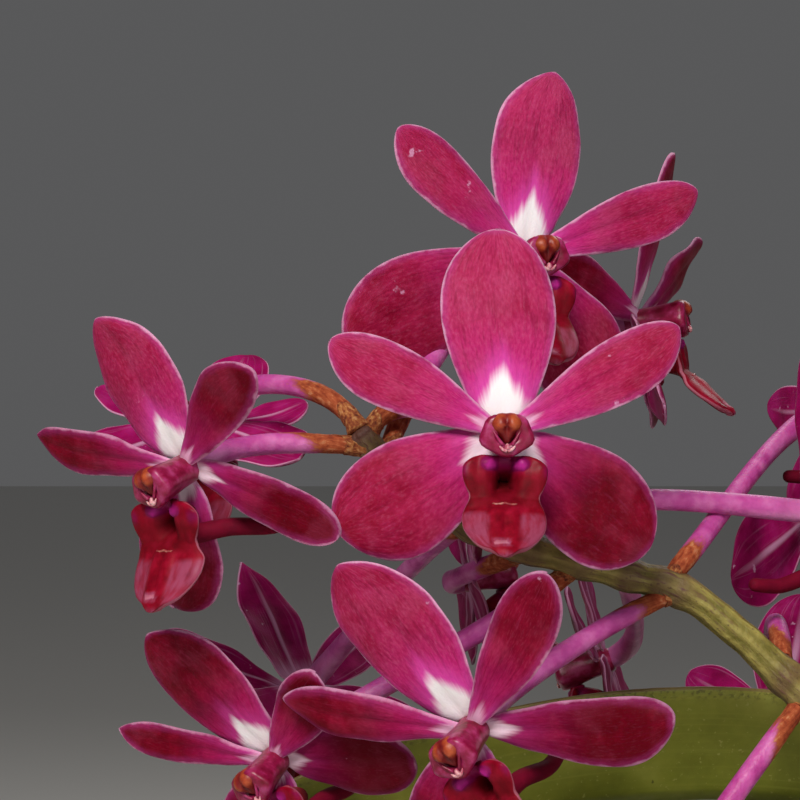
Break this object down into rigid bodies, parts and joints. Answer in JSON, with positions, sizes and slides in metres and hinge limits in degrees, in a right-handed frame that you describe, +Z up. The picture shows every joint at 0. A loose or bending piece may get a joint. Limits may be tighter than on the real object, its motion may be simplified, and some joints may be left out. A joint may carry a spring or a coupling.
{
  "type": "potted pinky vandachostylis",
  "caption": "Small potted orchid: strap leaves in two ranks, thick aerial roots in bark, and one arching raceme of crimson-pink five-tepalled flowers with dark red lips.",
  "frame": {"origin": "middle of the pot's flat underside, on the surface that it stands on", "axes": "+Z up along the stem; the leaves lie in two ranks along -X and +X; the raceme reaches to -X and -Y; the picture looks along +Y"},
  "size_m": [0.2864, 0.114, 0.2267],
  "materials": {
    "terracotta": "matte",
    "bark": "matte",
    "leaf_sheath": "satin",
    "leaf": "satin",
    "flower_stalk": "satin",
    "aerial_root": "matte",
    "tepal": "satin",
    "lip": "satin"
  },
  "bodies": {
    "root": {"pot": "terracotta", "stem": "leaf_sheath", "leaf_left_1": "leaf", "leaf_right_1": "leaf", "leaf_left_2": "leaf", "leaf_right_2": "leaf", "leaf_left_3": "leaf", "leaf_right_3": "leaf", "leaf_left_4": "leaf", "leaf_right_4": "leaf", "root_1": "aerial_root", "root_2": "aerial_root", "root_3": "aerial_root", "root_4": "aerial_root", "root_5": "aerial_root", "bark_bed": "bark", "flower_stalk": "flower_stalk", "bloom_01": "tepal", "lip_01": "lip", "bloom_02": "tepal", "lip_02": "lip", "bloom_03": "tepal", "lip_03": "lip", "bloom_04": "tepal", "lip_04": "lip", "bloom_05": "tepal", "lip_05": "lip", "bloom_06": "tepal", "lip_06": "lip", "bloom_07": "tepal", "lip_07": "lip", "bloom_08": "tepal", "lip_08": "lip", "bloom_09": "tepal", "lip_09": "lip", "bloom_10": "tepal", "lip_10": "lip", "bloom_11": "tepal", "lip_11": "lip", "bloom_12": "tepal", "lip_12": "lip", "bloom_13": "tepal", "lip_13": "lip", "bloom_14": "tepal", "lip_14": "lip", "bloom_15": "tepal", "lip_15": "lip"}
  },
  "joints": []
}
